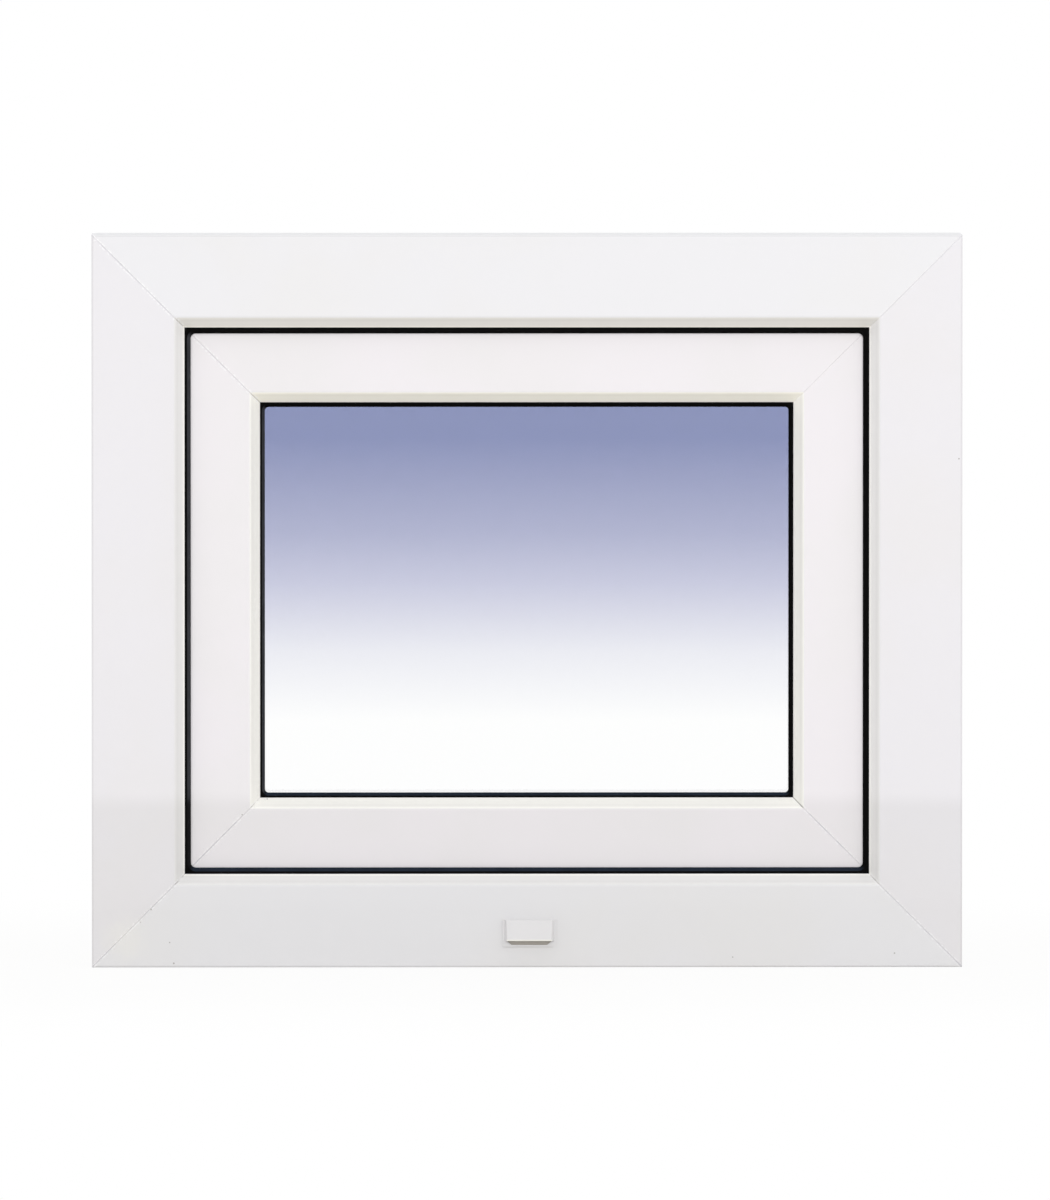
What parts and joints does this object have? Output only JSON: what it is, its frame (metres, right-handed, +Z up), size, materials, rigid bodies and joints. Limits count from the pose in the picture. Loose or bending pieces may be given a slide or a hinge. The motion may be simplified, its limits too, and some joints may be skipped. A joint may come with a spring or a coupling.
{
  "type": "tilt and turn window",
  "caption": "White plastic tilt and turn window, closed: mitred outer frame, sash with double glazing, black seals, drain cap, inside handle and hinges.",
  "frame": {"origin": "centre of the frame's underside, in the middle of the frame's depth", "axes": "+Z up, +X along the width, +Y from outside to inside, so the pictured face looks along -Y"},
  "size_m": [0.6, 0.1335, 0.505],
  "materials": {
    "frame_pvc": "white, satin, slightly grained extrusion",
    "sash_pvc": "white, satin, slightly grained extrusion",
    "bead_pvc": "white, satin",
    "seal_black": "matt black",
    "cap_white": "white, injection moulded",
    "pane_glass": "clear float glass",
    "spacer_metal": "brushed",
    "edge_sealant": "matt black",
    "handle_white": "white powder coat",
    "hinge_white": "white powder coat",
    "pin_steel": "zinc plated"
  },
  "bodies": {
    "root": {"frame_sill": "frame_pvc", "frame_head": "frame_pvc", "frame_jamb_left": "frame_pvc", "frame_jamb_right": "frame_pvc", "sash_bottom_rail": "sash_pvc", "sash_top_rail": "sash_pvc", "sash_stile_left": "sash_pvc", "sash_stile_right": "sash_pvc", "glazing_bead_bottom": "bead_pvc", "glazing_bead_left": "bead_pvc", "glazing_bead_top": "bead_pvc", "glazing_bead_right": "bead_pvc", "frame_gasket": "seal_black", "sash_gasket": "seal_black", "glazing_gasket": "seal_black", "bead_gasket": "seal_black", "drain_cap": "cap_white", "outer_pane": "pane_glass", "inner_pane": "pane_glass", "pane_spacer": "spacer_metal", "edge_seal": "edge_sealant", "handle_base": "handle_white", "handle_collar": "handle_white", "handle_lever": "handle_white", "lower_hinge_frame_part": "hinge_white", "lower_hinge_sash_part": "hinge_white", "upper_hinge_frame_part": "hinge_white", "upper_hinge_sash_part": "hinge_white", "lower_hinge_pin": "pin_steel", "upper_hinge_pin": "pin_steel"}
  },
  "joints": []
}
